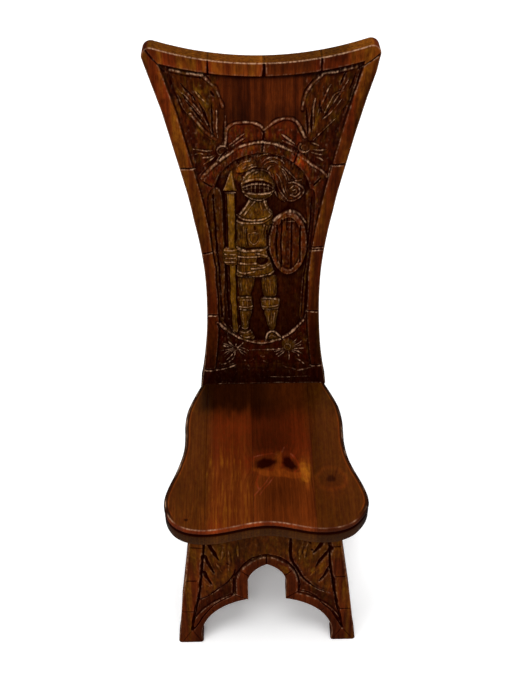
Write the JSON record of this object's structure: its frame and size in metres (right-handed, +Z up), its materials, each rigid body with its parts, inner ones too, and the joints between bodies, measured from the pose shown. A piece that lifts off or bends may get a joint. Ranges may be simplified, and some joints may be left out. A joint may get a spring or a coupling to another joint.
{
  "type": "carved plank-back hall chair",
  "caption": "Tall reclined plank back with a carved arch and knight, shaped seat with a moulded edge, and two splayed board legs with cusped pointed arches.",
  "frame": {"origin": "on the floor, under the middle of the chair's bounding box", "axes": "+X to the right hand of someone who faces the chair, -Y towards the chair's front, +Z up"},
  "size_m": [0.3472, 0.4206, 1.0205],
  "materials": {
    "back_wood": "red-brown stained pine, dark glaze in the carving, gloss varnish",
    "seat_wood": "red-brown stained pine with knots, gloss varnish",
    "leg_wood": "red-brown stained pine, dark glaze in the carving, gloss varnish",
    "frame_wood": "stained pine, satin varnish",
    "screw_steel": "dull zinc"
  },
  "bodies": {
    "root": {"back_stave_left": "back_wood", "back_stave_outer_left": "back_wood", "back_stave_outer_right": "back_wood", "back_stave_right": "back_wood", "front_cleat_left": "frame_wood", "front_cleat_right": "frame_wood", "front_cleat_screws": "screw_steel", "front_leg_stave_left": "leg_wood", "front_leg_stave_middle": "leg_wood", "front_leg_stave_right": "leg_wood", "keel_rail": "frame_wood", "rear_cleat_left": "frame_wood", "rear_cleat_right": "frame_wood", "rear_cleat_screws": "screw_steel", "rear_leg_stave_left": "leg_wood", "rear_leg_stave_middle": "leg_wood", "rear_leg_stave_right": "leg_wood", "seat_stave_left": "seat_wood", "seat_stave_outer_left": "seat_wood", "seat_stave_outer_right": "seat_wood", "seat_stave_right": "seat_wood", "tenon_cleat": "frame_wood", "tenon_cleat_screws": "screw_steel", "tenon_key_left": "frame_wood", "tenon_key_right": "frame_wood"}
  },
  "joints": []
}
